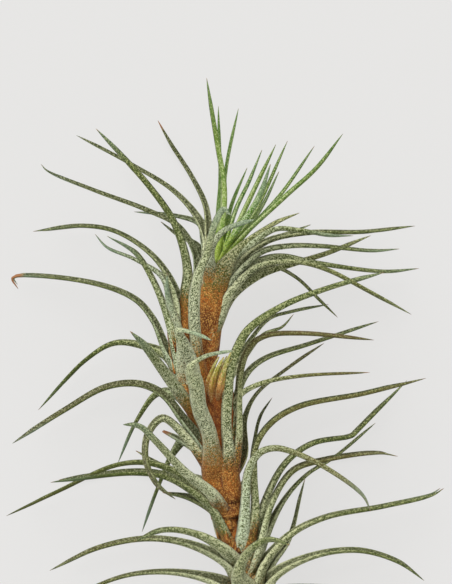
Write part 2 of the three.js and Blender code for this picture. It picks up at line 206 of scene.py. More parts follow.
def finished_piece(form, name, materials):
    """Closes the ends of a form and makes it a smooth mesh object that rides on the plant."""
    bmesh.ops.holes_fill(form, edges=[edge for edge in form.edges if edge.is_boundary], sides=0)
    bmesh.ops.recalc_face_normals(form, faces=form.faces)
    for face in form.faces:
        face.smooth = True
    mesh = bpy.data.meshes.new(name)
    form.to_mesh(mesh)
    form.free()
    for material in materials:
        mesh.materials.append(material)
    piece = bpy.data.objects.new(name, mesh)
    bpy.context.scene.collection.objects.link(piece)
    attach(piece, "root")
    return piece


# Dry woody stem: dull brown, with fine fibres along it.
woody_stem = new_material("dry woody stem")
place = add(woody_stem, "ShaderNodeTexCoord", {}).outputs["Object"]
stretch = add(woody_stem, "ShaderNodeMapping", {
    "Vector": place, "Scale": (1000 / FIBRE_WIDTH, 1000 / FIBRE_LENGTH, 1000 / FIBRE_WIDTH),
}).outputs[0]
fibres = add(woody_stem, "ShaderNodeTexNoise", {
    "Vector": stretch, "Scale": 1.0, "Detail": 4.0,
}).outputs["Fac"]
bark = ramp(woody_stem, fibres, ((0.3, "#4a2e18"), (0.72, "#a3733f")))
relief = add(woody_stem, "ShaderNodeBump", {"Height": fibres, "Strength": 0.6, "Distance": 0.0002})
coat(woody_stem, bark, relief, roughness=0.85, specular=0.5)

# Cut end of the stem: pale dry wood with pores.
cut_wood = new_material("cut end of the stem")
place = add(cut_wood, "ShaderNodeTexCoord", {}).outputs["Object"]
pores = add(cut_wood, "ShaderNodeTexVoronoi", {
    "Vector": place, "Scale": 1000 / FIBRE_WIDTH,
}).outputs["Distance"]
pale_wood = ramp(cut_wood, pores, ((0.05, "#7d5a38"), (0.45, "#cfae7d")))
coat(cut_wood, pale_wood, None, roughness=0.9, specular=0.5)


def woody_core(form, name):
    """A stem that thins towards its tip, with a low step at each scar."""
    foot, tip, route = STEMS[name]

    def ring(distance, length):
        scar = SCAR_RISE * (1 - (distance / SCAR_SPACING) % 1.0) ** 3
        radius = foot + (tip - foot) * distance / length + scar - SCAR_RISE
        turns = [2 * math.pi * i / STEM_SIDES for i in range(STEM_SIDES)]
        return [(radius * math.sin(turn), radius * math.cos(turn), ()) for turn in turns]

    points = [Vector(point) for point in route]
    follow(form, points, Vector((0, 0, 1)), (len(route) - 1) * STEM_STEPS_PER_SPAN, STEM_SIDES, ring)


cores = bmesh.new()
for stem_name in ("tall", "left", "short"):
    woody_core(cores, stem_name)
bmesh.ops.holes_fill(cores, edges=[edge for edge in cores.edges if edge.is_boundary], sides=0)
cut = min(cores.faces, key=lambda face: face.calc_center_median().y if len(face.verts) > 4 else 1)
bmesh.ops.inset_individual(cores, faces=[cut], thickness=CUT_RIM_WIDTH * MM, depth=-CUT_HOLLOW * MM)
cut.material_index = 1
bmesh.ops.inset_individual(cores, faces=[cut], thickness=CUT_WOOD_WIDTH * MM, depth=CUT_MIDDLE_RISE * MM)
for edge in cut.edges:
    for face in edge.link_faces:
        face.material_index = 1
finished_piece(cores, "woody_stems", [woody_stem, cut_wood])

# Sheaths
# The stems are wrapped in the broad bases of the leaves, one over the other in a spiral. They are
# thin, dry and papery, orange-brown under pale scales, with shade painted darker towards the foot
# of each, where another covers it.
GOLDEN_TURN = math.radians(137.5)
SHEATH_AROUND = 16
SHEATH_STEPS = 12
SHEATH_RUN = 14.0
SHEATH_FLARE = 0.65
SHEATH_PAPER = 0.22
SHEATH_FOOT_RADIUS = 2.15
SHEATH_HALF_TURN = 2.4
SHEATH_SPANS = 3
SHEATH_END = 0.01
SHEATH_END_POWER = 0.8
SHEATH_PATCHES = 3.0
SHEATH_TINT = 0.12
LINE_STEP = 0.01
ROUNDING = 1e-6
# The scales that drink water are 0.1 to 0.2 mm across on the real plant, just wide enough to show
SCALE_SPACING = 0.15

# [the first sheath's distance from the stem's foot, the last one's, their spacing], in mm
SHEATH_ROWS = {"tall": [4.0, 69.0, 2.3], "left": [1.0, 22.0, 2.3], "short": [4.0, 22.0, 2.0]}


def shading(material):
    """Functions that add to a material the nodes that a colour is worked out with: a mix of two
    colours, a value spread over another range, and a sum, difference or product."""

    def mix(factor, one, other):
        # The two colours go in at sockets 6 and 7, and their mix comes out at socket 2
        inputs = {"Factor": factor, 6: one, 7: other}
        return add(material, "ShaderNodeMix", inputs, data_type="RGBA").outputs[2]

    def spread(value, low, high, at_low, at_high):
        return add(material, "ShaderNodeMapRange", {
            "Value": value, "From Min": low, "From Max": high, "To Min": at_low, "To Max": at_high,
        }).outputs[0]

    def maths(operation, one, other):
        return add(material, "ShaderNodeMath", {0: one, 1: other}, operation=operation).outputs[0]

    return mix, spread, maths


# Dry leaf sheath: papery and matte, orange-brown between pale scales, with painted shade at its foot, where
# another covers it.
papery_sheath = new_material("dry papery leaf sheath")
mix, spread, maths = shading(papery_sheath)
place = add(papery_sheath, "ShaderNodeTexCoord", {}).outputs["Object"]
along = add(papery_sheath, "ShaderNodeAttribute", {}, attribute_name="along").outputs["Fac"]
tint = add(papery_sheath, "ShaderNodeAttribute", {}, attribute_name="tint").outputs["Fac"]
clouds = add(papery_sheath, "ShaderNodeTexNoise", {
    "Vector": place, "Scale": 1000 / SHEATH_PATCHES, "Detail": 3.0,
}).outputs["Fac"]
browns = ramp(papery_sheath, maths("ADD", clouds, tint), ((0.2, "#43170a"), (0.68, "#9c5219")))
scales = add(papery_sheath, "ShaderNodeTexVoronoi", {"Vector": place, "Scale": 1000 / SCALE_SPACING}).outputs
chance = add(papery_sheath, "ShaderNodeSeparateColor", {"Color": scales["Color"]}).outputs
scaly = mix(spread(chance["Red"], 0.6, 0.85, 0.0, 0.6), browns, linear("#cf9248"))
pitted = mix(spread(chance["Green"], 0.6, 0.85, 0.0, 0.6), scaly, linear("#5a2a10"))
# Painted shade: each sheath is darker towards its foot, where the next one covers it
with_painted_foot_shade = mix(spread(along, 0.0, 0.7, 0.5, 0.0), pitted, linear("#5a2814"))
relief = add(papery_sheath, "ShaderNodeBump", {
    "Height": scales["Distance"], "Strength": 0.5, "Distance": 0.0001,
})
coat(papery_sheath, with_painted_foot_shade, relief, roughness=0.8, specular=0.3)


def clasping_section(radius, half_turn, values):
    """Corners of a sheath wrapped round the stem, from its left edge round the outer side to the
    right edge and back inside."""
    corners = []
    for i in range(SHEATH_AROUND):
        turn = 2 * math.pi * i / SHEATH_AROUND
        across = -math.cos(turn)
        outer = math.sin(turn) > -ROUNDING
        paper = 0.0 if outer else SHEATH_PAPER * math.sqrt(max(0.0, 1 - across * across))
        angle = across * half_turn
        aside = (radius - paper) * math.sin(angle)
        corners.append((aside, radius - (radius - paper) * math.cos(angle), values))
    return corners


def point_along(line, share):
    """The point at a share of a stem's middle line."""
    at = min(share * STEM_LINE_POINTS, STEM_LINE_POINTS - 0.001)
    return line[int(at)].lerp(line[int(at) + 1], at - int(at))


def sheath(form, layers, line, start, turn, tint_here):
    """A scale that hugs the stem and stands a little off it towards its free end."""
    stem_length = (line[1] - line[0]).length * STEM_LINE_POINTS
    points = []
    for i in range(SHEATH_SPANS + 1):
        share = min(1, (start + SHEATH_RUN * i / SHEATH_SPANS) / stem_length)
        centre = point_along(line, share)
        ahead = point_along(line, min(1, share + LINE_STEP))
        heading = (ahead - point_along(line, share - LINE_STEP)).normalized()
        side = (Vector((1, 0, 0)) - heading * heading.x).normalized()
        out = side * math.cos(turn) + side.cross(heading) * math.sin(turn)
        points.append(centre + out * (SHEATH_FOOT_RADIUS + SHEATH_FLARE * i / SHEATH_SPANS))
        if i == 0:
            inward = -out

    def ring(distance, length):
        share = distance / length
        half_turn = SHEATH_HALF_TURN * max(SHEATH_END, 1 - share ** 2) ** SHEATH_END_POWER
        return clasping_section(SHEATH_FOOT_RADIUS + SHEATH_FLARE * share, half_turn, (share, tint_here))

    follow(form, points, inward, SHEATH_STEPS, SHEATH_AROUND, ring, layers)


for stem_name, (first, last, spacing) in SHEATH_ROWS.items():
    wraps = bmesh.new()
    wrap_layers = [wraps.verts.layers.float.new(name) for name in ("along", "tint")]
    middle_line = stem_line(stem_name)
    for i in range(int((last - first) / spacing)):
        # Five shades of brown take turns
        tint_here = SHEATH_TINT * ((i * 7) % 5) / 5
        sheath(wraps, wrap_layers, middle_line, first + spacing * i, GOLDEN_TURN * i, tint_here)
    finished_piece(wraps, f"{stem_name}_shoot_sheaths", [papery_sheath])

# Leaves of the tall shoot
# Each leaf starts as a sheath round the stem and draws in to a stiff, thread-like blade with a
# channel on its inner side and a fine tip. Silvery scales cover it, thickest towards its base.
LEAF_AROUND = 16
LEAF_STEPS_PER_SPAN = 8
SHEATH_BOW = 2.8
SHEATH_THICKNESS = 0.32
SHEATH_DEPTH_LENGTH = 13.5
SHEATHED_LENGTH = 26
NARROWEST_BLADE = 0.66
BLADE_DEPTH = 0.86
BLADE_THICKNESS = 0.6
TIP_BLUNTNESS = 0.02
TIP_POWER = 0.65
FOOT_SHARE = 0.8
FOOT_SPAN = 6
LOWEST_MIDDLE = 0.4

# A leaf of the far side: how much lower it starts, what share of its last span it keeps, and how
# high its middle and tip are
FAR_LEAF_DROP = 2
FAR_LEAF_REACH = (0.55, 0.85)
FAR_LEAF_MIDDLE = (9, 14)
FAR_LEAF_TIP = (2.5, 6)
RESTING_HEIGHT = 2.25

# The leaves under the stem: how many there are, where the first one's root is and over what share of
# the stem they stand, how far each runs along it, how far each leans aside at its points, how wide it
# is, how far its root is below the stem's middle, and how high its middle and tip are
UNDER_LEAVES = 9
UNDER_LEAF_START = 0.12
UNDER_LEAF_ROWS = 0.5
UNDER_LEAF_SPAN = 0.115
UNDER_LEAF_LEANS = (0, 0.4, 1, 1.8)
UNDER_LEAF_ASIDE = (0.5, 1.4)
UNDER_LEAF_WIDTH = (1.2, 1.7)
UNDER_LEAF_DROP = 1.6
UNDER_LEAF_MIDDLE = (9, 12)
UNDER_LEAF_TIP = (2, 4)

LEAF_PATCHES = 5.0
SEED = 20117
LOOK_SEED = 5

# Leaves: [blade width, [height of the root, middle and tip], route of x and y from root to tip].
# U leaves go up to the left, L left, R right and F to the front, and E are the lowest.
TALL_LEAVES = {
    "U2": [1.1, [25.5, 22.5, 21], [
        [-2.9, 15.5], [-3.8, 20], [-3.8, 24.3], [-5.8, 29], [-10.4, 34.1], [-18.7, 39.3],
        [-29.67, 45.17],
    ]],
    "U3": [1.1, [26.5, 25, 27], [
        [-2.3, 15], [-3.3, 20], [-3.4, 25], [-3.9, 31], [-6.5, 36.7], [-11.3, 44.3], [-13.35, 48.1],
    ]],
    "U5": [0.8, [25, 17, 13], [[-2.2, 17], [-4, 24], [-5.05, 27.3], [-9.2, 28.9], [-18.15, 29.9]]],
    "U6": [0.75, [24, 17, 13], [[-3, 14], [-4.3, 19], [-5.4, 22.7], [-10, 25.6], [-12.8, 27.9]]],
    "F3": [2.3, [26.2, 36, 44], [
        [-4.6, -4], [-5.3, 3], [-5.8, 10], [-5.2, 16.5], [-3.4, 21.1], [-1.75, 27.4], [0, 30.1],
        [1.25, 29],
    ]],
    "F4": [1.5, [26.8, 34, 42], [[-2.6, 13], [-2.8, 18], [-2.3, 22.8], [0, 25.9], [6, 28.2]]],
    "F5": [1.5, [27, 31.4, 30], [
        [-2.9, 10.6], [-1.6, 15], [0.6, 19.2], [3.6, 22.9], [10, 27.4], [15, 29.6],
    ]],
    "R1": [1.5, [27.2, 32, 33], [
        [-1.8, 12.5], [2, 20.4], [5.6, 23.4], [10.1, 26.3], [15.1, 26.1], [20.9, 25.1], [25.7, 25],
    ]],
    "R2": [1.3, [26.5, 27, 26], [
        [-0.6, 11.5], [3.5, 20], [6.8, 22.9], [10.1, 24.45], [16.8, 25.6], [28, 25.8], [38.1, 27],
    ]],
    "R2b": [0.8, [24, 20, 17], [[0, 14], [4, 20.5], [9, 24], [13.5, 25.8], [17.3, 27.3]]],
    "R3": [1.3, [27, 28.6, 29], [
        [-0.6, 10], [3.5, 18.3], [7.6, 21.8], [12.6, 22.9], [19.3, 22.9], [29.6, 22], [34.95, 22.4],
    ]],
    "R4": [1.4, [25.4, 26.2, 25], [
        [-0.6, 8.5], [2.4, 15.9], [5.1, 18.9], [8.4, 20.5], [11.8, 20.9], [18.4, 19.6], [31.9, 17.9],
        [38.9, 18.5],
    ]],
    "R5": [1.3, [27, 29, 31], [
        [-1, 7], [1.6, 13.4], [5.1, 17.7], [8.4, 19.4], [15.1, 19.7], [20.9, 18.1], [28.8, 14],
        [37.3, 9.3],
    ]],
    "R6": [0.75, [24.5, 20, 16.5], [
        [-1, 6.5], [1.8, 13], [5.9, 17.4], [9.6, 18.8], [14.3, 16.7], [19.3, 11.9], [22.7, 8.7],
    ]],
    "R8": [1.5, [26, 24, 20], [
        [-2.4, 2], [-0.6, 8.6], [2.3, 13.4], [7.6, 17.2], [14.3, 19.5], [20.9, 21.6], [29.3, 25.1],
    ]],
    "R10": [0.8, [24, 17, 13], [[-3, -9], [-0.4, -4], [3.4, 1.4], [8.9, 8.3], [13.4, 9.8], [20.9, 11.3]]],
    "R11": [0.8, [24, 20, 16], [
        [-2.8, -11], [0.2, -5.6], [4.2, 0.8], [7.9, 5.3], [11.6, 6.8], [13.85, 9.3],
    ]],
    "F1": [2.4, [26, 39, 53], [
        [-4.2, -15], [-5.2, -10.5], [-5.9, -4.5], [-6.9, 0], [-8.7, 4], [-9.2, 6], [-6.1, 5.6],
        [-2.5, 4.2],
    ]],
    "F2": [3.2, [26, 42, 57], [
        [-1.5, -23], [-2.8, -15], [-4.8, -9.5], [-5.4, -5], [-6.6, -1.3], [-4, 0.9], [2, 2.25],
    ]],
    "L10": [1.6, [26, 27, 25], [
        [-1.8, -23], [-4.9, -17.5], [-8.9, -11.2], [-12.4, -6.8], [-17.2, -4.7], [-23.6, -5.3],
        [-31.8, -9.8], [-42.4, -16.5],
    ]],
    "L12": [1.8, [26, 30, 33], [
        [-2, -24.8], [-4.7, -20.3], [-6.6, -17], [-8.8, -14.1], [-12.3, -11.5], [-15.1, -14.5],
        [-15.6, -19.5], [-13.5, -24.3], [-9.8, -27.5],
    ]],
    "L13": [1, [22, 17, 12], [[0.4, -33], [-2.6, -30.2], [-7.2, -27.6], [-12.4, -26.5]]],
    "L14": [2.2, [25.6, 38, 47], [
        [0, -31.3], [-2.9, -26.6], [-8.5, -21.6], [-13.7, -15.9], [-17, -12.8], [-20.1, -12.5],
    ]],
    "L15": [0.8, [25.4, 23, 21], [[-1.8, -22], [-5, -19], [-9, -16], [-12.4, -14.1]]],
    "L15b": [0.75, [22.5, 11.6, 5], [
        [-3, -17], [-7, -15.6], [-10.3, -18.9], [-13.2, -25.2], [-16.6, -34.5],
    ]],
    "L15c": [0.75, [23, 18.4, 14], [[-0.6, -28], [-5, -24.8], [-9.9, -22.7], [-17.8, -18.1]]],
    "L17": [1.2, [23.5, 22, 19], [
        [-0.4, -31], [-4.4, -26.4], [-9.7, -22.35], [-15, -20.5], [-21.7, -20.9], [-33.4, -26.2],
        [-43.75, -31.1],
    ]],
    "L18": [1.5, [26, 26.6, 24], [
        [1.2, -35.5], [-2.9, -29.5], [-7.2, -25.6], [-12.1, -23.1], [-18.2, -22.45], [-29.3, -23.6],
        [-34.8, -24.3],
    ]],
    "R14": [0.8, [24, 17, 12], [
        [0.2, -24.5], [3.6, -19], [4.2, -11.5], [6.5, -6.7], [12.8, -1.5], [20, 3.5],
    ]],
    "R16": [1, [23.6, 12, 5], [[2.6, -31], [5, -24], [5.9, -16.8], [7.2, -11.3], [9.6, -7.5]]],
    "R17": [1.3, [25.4, 26.4, 25], [
        [3.8, -40], [6.4, -31], [6, -22.6], [6.4, -17], [9.4, -12.5], [15, -9.2], [28, -6.6],
        [40.3, -3.45],
    ]],
    "R18": [1.7, [25, 32, 36], [
        [3.2, -38.5], [4.4, -28.5], [5, -21.7], [7.2, -18.3], [10, -17.4], [13.4, -18.05],
        [20.1, -21.2], [27.5, -26.65], [29.15, -29.9],
    ]],
    "R19": [1.3, [24, 23, 20], [
        [4, -42], [6.6, -34.6], [9.3, -25.6], [12.8, -20], [17.8, -16.55], [24.8, -15.3], [25.8, -14.9],
        [26.5, -14.2], [36.6, -3.9],
    ]],
    "R20": [1, [22, 18.6, 16], [
        [4.4, -43.5], [8, -36.6], [11.8, -28.3], [16.4, -23], [22.3, -19.2], [30.3, -12.5],
    ]],
    "R21": [1.2, [25.4, 24.6, 23], [
        [4.4, -43], [7.5, -37], [9.2, -29.3], [13.8, -22.1], [20, -20], [31, -18.5], [34.7, -19.1],
    ]],
    "R22": [0.8, [21.5, 14, 8], [[5, -46], [9.4, -41], [13, -36], [15.3, -27.3], [16.2, -23.8]]],
    "R23": [1.4, [23.6, 24, 23], [
        [5.4, -47.5], [8, -41.5], [13, -35], [20.1, -31.4], [32, -29.15], [41.6, -26.9], [43.9, -25.5],
    ]],
    "E1": [1.4, [25, 26, 21], [
        [3.6, -46], [0, -40.6], [-7, -36.8], [-15, -35.6], [-25, -37.4], [-35, -42],
    ]],
    "E2": [1.2, [23, 18, 11], [[4, -49], [-1, -45], [-9, -42.6], [-19, -43], [-28, -46.4], [-34, -50.4]]],
    "E3": [1.4, [24, 26, 22], [[5.6, -49], [10.5, -43], [18, -39], [27, -38], [35, -40.4], [40, -44]]],
    "E4": [1.2, [22, 16, 10], [[6, -51], [11, -47.4], [19, -45.6], [27, -46.6], [33.6, -50.6]]],
    "E5": [2, [25.4, 36, 47], [[4.2, -49], [3, -43], [5, -38], [9, -35.4], [13, -36.4]]],
    "E6": [1.8, [25.6, 33, 40], [[3, -43.5], [-0.4, -38], [-5.4, -34.6], [-12, -33.6], [-18, -35.8]]],
}

# Each of these leaves has another on the far side of the stem, which follows the same line seen
# from above but goes down. The three that rest touch the surface in a low arc.
FAR_SIDE = [
    "U3", "R2", "R4", "R5", "R8", "L10", "L17", "L18", "R17", "R19", "R21", "R23",
    "E1", "E2", "E3", "E4",
]
RESTING = ["U3", "L18", "R21"]

# How far a leaf is blue-grey or brown, how much more its scales hide than on the others, how many
# mm of its tip are dry, how light its green is, and how far, in radians, its channel turns to the
# front. A dry length below 0 is a tip that is green to its end. Leaves that aren't named draw
# theirs, and their scales hide no more.
BLUISH = {
    "F0": 0.8, "F1": 0.7, "F2": 0.6, "F3": 0.6, "F4": 0.7, "F5": 0.0, "U4": 0.9, "U5": 1.0,
    "R18": 0.9, "R1": 0.7, "R3": 0.5, "L5": 0.9, "L6": 0.6, "L11": 0.8, "L15b": 0.8, "L7": 0.9,
    "L8": 0.4, "L10": 1.0, "L14": 0.4, "L12": 0.2, "H7": 0.6,
}
BROWNISH = {
    "R12": 0.7, "R15": 0.7, "R17": 0.5, "R21": 0.6, "R14": 0.3, "L10": 0.2, "L15": 0.5, "R1": 0.1,
    "R18": 0.5, "F5": 0.15,
}
SCALY = {
    "F0": 0.22, "F1": 0.22, "F2": 0.22, "F3": 0.17, "F4": 0.12, "F5": 0.11, "R1": 0.03, "R2": 0.03,
    "R3": 0.03, "R4": 0.05, "R5": 0.04, "R8": 0.05, "R18": 0.1, "R9": 0.05, "L12": 0.05,
    "L14": 0.12, "L8": 0.08, "L17": -0.15, "L18": -0.15, "L9": -0.12, "L10": -0.05, "L13": -0.3,
    "R13": -0.05, "R16": -0.1, "R14": -0.15, "L5": 0.08, "L6": 0.05, "L11": -0.15, "L15b": -0.15,
}
DRY_TIPS = {
    "F3": -1.0, "F4": -1.0, "U2": -1.0, "L10": -1.0, "L14": -1.0, "U3": 2.0, "L7": 4.5, "L15": 1.4,
    "L13": 1.5, "R15": 1.0,
}
LEAF_TINTS = {"F5": -0.6, "R9": -0.8, "H1": 1.2, "H5": -2.5, "H6": 0.5, "H7": -0.6, "H10": 0.0}
CHANNEL_TURNS = {
    "U1": 0.7, "L4": 0.9, "L7": 0.8, "L10": 0.8, "U4": 0.5, "R12": 0.5, "R9": 0.4, "R13": 0.5,
    "L6": 0.3,
}

# A leaf's base and blade, in mm: its sheath's width and what share of that its foot has, the length
# over which it draws in and how suddenly, how far its outer side is from the stem's middle, how far
# it runs down the stem from the root, how far it is dry and how suddenly that ends, its width from
# end to end as times the blade's width, and the length of its tip.
COMMON_FORM = {
    "width": 6.4, "foot": 1.0, "length": 11.0, "power": 2, "off": 2.7, "down": 4.5,
    "dry": 9.0, "sharp": 1.0, "profile": ((0, 1.2), (1, 0.5)), "tip": 5.0,
}
LEAF_FORMS = {
    "U1": {"dry": 16.5, "sharp": 3.0},
    "U4": {"dry": 12.0, "sharp": 2.4},
    "L8": {"width": 4.6, "length": 8.0, "dry": 15.0, "sharp": 2.0,
           "profile": ((0, 1), (0.4, 1.05), (1, 0.5))},
    "L10": {"width": 5.6},
    "L12": {"width": 5.6, "off": 2.9, "dry": 13.0, "sharp": 2.4},
    "L14": {"width": 5.6, "length": 9.0, "dry": 11.0, "sharp": 2.4, "tip": 3.0},
    "F0": {"width": 5.0, "length": 8.0},
    "F1": {"width": 5.2, "length": 8.0, "off": 2.8, "tip": 2.0,
           "profile": ((0, 1), (0.68, 1), (0.75, 0.66), (0.8, 0.36), (1, 0.26))},
    "F2": {"width": 7.4, "length": 12.0, "power": 4, "off": 4.2, "down": 9.0, "dry": 21.0, "sharp": 2.0,
           "tip": 2.0, "profile": (
               (0, 1.1), (0.45, 0.95), (0.6, 0.98), (0.67, 1.0), (0.73, 0.66), (0.79, 0.29), (1, 0.2))},
    "F3": {"width": 4.6, "length": 6.5, "dry": 15.0, "sharp": 2.0, "tip": 2.0,
           "profile": ((0, 1), (0.5, 1), (0.65, 0.75), (0.85, 0.58), (1, 0.5))},
    "F4": {"width": 4.4, "length": 9.5, "power": 4, "dry": 11.5, "sharp": 2.4, "tip": 2.0,
           "profile": ((0, 1.2), (0.6, 0.8), (1, 0.5))},
    "F5": {"foot": 0.6, "length": 24.0, "power": 5, "off": 3.3, "down": 15.0, "dry": 24.6, "sharp": 3.0},
    "R1": {"width": 4.0, "off": 1.6, "dry": 8.0},
    "R2": {"width": 4.6, "off": 2.2, "dry": 7.0},
    "R3": {"width": 4.4, "off": 2.2, "dry": 7.0},
    "R4": {"width": 4.6, "dry": 7.0},
    "R5": {"width": 4.4, "foot": 0.4, "off": 3.4, "down": 5.0, "dry": 5.0},
    "R8": {"width": 4.6, "foot": 0.4, "off": 3.6, "down": 4.0, "dry": 11.0, "sharp": 2.4},
    "R9": {"width": 4.8, "power": 3, "off": 2.9, "down": 8.0, "dry": 11.0, "sharp": 2.4,
           "profile": ((0, 1.3), (0.2, 0.85), (0.3, 1), (0.46, 0.95), (0.55, 0.8), (0.65, 0.62), (1, 0.4))},
    "R12": {"width": 4.6, "length": 9.0, "dry": 12.0, "sharp": 1.8,
            "profile": ((0, 1.2), (0.5, 0.95), (0.62, 0.75), (1, 0.5))},
    "R13": {"width": 4.0},
    "R14": {"dry": 11.0},
    "R15": {"width": 4.0, "length": 8.0},
    "R17": {"dry": 14.0, "sharp": 2.0},
    "R18": {"width": 5.2, "length": 9.0, "dry": 7.0},
    "T1": {"dry": 8.0, "sharp": 2.4},
    "T2": {"dry": 8.6, "sharp": 2.4},
    "T3": {"dry": 9.2, "sharp": 2.4},
    "T4": {"dry": 9.0, "sharp": 2.4},
    "T5": {"dry": 8.4, "sharp": 2.4},
    "T6": {"width": 1.4, "dry": 7.6, "sharp": 2.4},
    "T7": {"width": 1.4, "dry": 8.6, "sharp": 2.4},
}

# Where a leaf stands on its stem, in degrees from the top towards the right. The others stand on
# the side that they arch to.
STANDS_AT = {"F5": 0, "F4": 0, "R8": 58, "R5": 66, "R9": 40, "R12": 75, "L8": -55, "L14": -55}

# What a leaf's skin reads at each corner: mm from the root and to the tip, how far it is past the
# dry base, whether it is on the inner side, how near a margin it is, and the leaf's own looks
LEAF_LAYERS = ("from_root", "to_tip", "living", "inner", "rim", "tint", "blue", "brown", "scaly", "dry")
look_draws = random.Random(LOOK_SEED)

# What all skins share: the smooth grey ends of some leaves, the brightest scales, and skin that is
# brown or dead
SHARED_COLOURS = {
    "grey_skin": "#6a7c62", "grey_scale": "#98a98a", "bright_scale": "#f4f0c2",
    "brown_skin": "#6b4c2c", "dead_tip": "#9a6a44",
}

# Draws for the leaves that the stem hides, which are the same each run
DRAW_FACTOR = 16807
DRAW_RANGE = 2147483647
draw_state = SEED


def draw(low, high):
    """The next draw, between low and high."""
    global draw_state
    draw_state = (draw_state * DRAW_FACTOR) % DRAW_RANGE
    return low + (high - low) * draw_state / DRAW_RANGE


def crescent(half, bow, thickness, off, values_of):
    """Corners of a channelled section, from its left edge round the outer side to the right edge
    and back along the channel. off is how far its outer side is beyond the middle line."""
    corners = []
    for i in range(LEAF_AROUND):
        turn = 2 * math.pi * i / LEAF_AROUND
        across = -math.cos(turn)
        outer = math.sin(turn) > -ROUNDING
        depth = (bow if outer else bow - thickness) * math.sqrt(max(0.0, 1 - across * across))
        corners.append((half * across, bow - off - depth, values_of(across, outer)))
    return corners


def far_leaf(name, leaves, line):
    """The far side's leaf starts lower, on the stem's underside, and stops short of the other's tip."""
    width, _, route = leaves[name]
    start = route[0][1] - FAR_LEAF_DROP
    share = 0.0
    while share < 1 and point_along(line, share).y < start:
        share += LINE_STEP
    root = point_along(line, min(1, share))
    reach = draw(*FAR_LEAF_REACH)
    end = [one + (other - one) * reach for one, other in zip(route[-2], route[-1])]
    if name in RESTING:
        heights = [root.z - FAR_LEAF_DROP, RESTING_HEIGHT, RESTING_HEIGHT]
    else:
        heights = [root.z - FAR_LEAF_DROP, draw(*FAR_LEAF_MIDDLE), draw(*FAR_LEAF_TIP)]
    return [width, heights, [[root.x, start]] + route[1:-1] + [end]]


def under_leaf(i, line):
    """Leaves on the stem's underside arch forward under it, each leaning a little to the other side."""
    share = UNDER_LEAF_START + UNDER_LEAF_ROWS * i / UNDER_LEAVES
    aside = (1 if i % 2 else -1) * draw(*UNDER_LEAF_ASIDE)
    over = [point_along(line, share + UNDER_LEAF_SPAN * k) for k in range(len(UNDER_LEAF_LEANS))]
    route = [[point.x + lean * aside, point.y] for point, lean in zip(over, UNDER_LEAF_LEANS)]
    width = draw(*UNDER_LEAF_WIDTH)
    heights = [over[0].z - UNDER_LEAF_DROP, draw(*UNDER_LEAF_MIDDLE), draw(*UNDER_LEAF_TIP)]
    return [width, heights, route]


def all_sides(leaves, far_side, under, line):
    """A shoot's leaves, with those of its far side and the ones that grow under its stem."""
    shapes = dict(leaves)
    for name in far_side:
        shapes["far " + name] = far_leaf(name, leaves, line)
    for number in range(under):
        shapes[f"under {number}"] = under_leaf(number, line)
    return shapes


def leaf_points(heights, route, line, base, side):
    """A leaf's route with its heights, which follow a parabola, its root set on the stem's side,
    and the direction of its inner side."""
    at_root, at_middle, at_tip = heights
    lengths = [0.0]
    for one, other in zip(route, route[1:]):
        lengths.append(lengths[-1] + math.dist(one, other))
    points = []
    for (x, y), far in zip(route, lengths):
        share = far / lengths[-1]
        height = (at_root * (1 - share) * (1 - 2 * share) + 4 * at_middle * share * (1 - share)
                  + at_tip * share * (2 * share - 1))
        points.append(Vector((x, y, max(height, LOWEST_MIDDLE))))
    nearest = min(range(len(line)), key=lambda i: (line[i] - points[0]).length)
    inward = points[0] - smooth_line(points, 0.5)[0]
    inward.y = 0
    inward.normalize()
    if side is not None:
        inward = -Vector((math.sin(math.radians(side)), 0, math.cos(math.radians(side))))
    if not base["off"]:
        points[0] = points[0].lerp(line[nearest], 0.5)
        return points, inward
    lowest = max(nearest - base["down"] / (line[1] - line[0]).length, min(2, nearest - 1), 0)
    spans = max(1, round(base["down"] / FOOT_SPAN))
    hugging = []
    for i in range(spans + 1):
        off = base["off"] * (FOOT_SHARE + (1 - FOOT_SHARE) * i / spans)
        hugging.append(line[round(lowest + (nearest - lowest) * i / spans)] - inward * off)
    return hugging + points[1:], inward


def between(pairs, at):
    """The value at a place on the line through the pairs of place and value."""
    for (one, low), (other, high) in zip(pairs, pairs[1:]):
        if at < other:
            return low + (high - low) * (at - one) / (other - one)
    return pairs[-1][1]


def leaf_looks(name):
    """A leaf's lightness, how blue-grey, brown and scaly it is, its dry tip and its channel's turn."""
    return (
        LEAF_TINTS.get(name, look_draws.uniform(-1, 1)),
        BLUISH.get(name, look_draws.uniform(0, 0.35)),
        BROWNISH.get(name, look_draws.choice([0, 0, 0, 0.25])),
        SCALY.get(name, 0.0),
        DRY_TIPS.get(name, look_draws.uniform(0, 0.5)),
        CHANNEL_TURNS.get(name, look_draws.uniform(-0.1, 0.45)),
    )


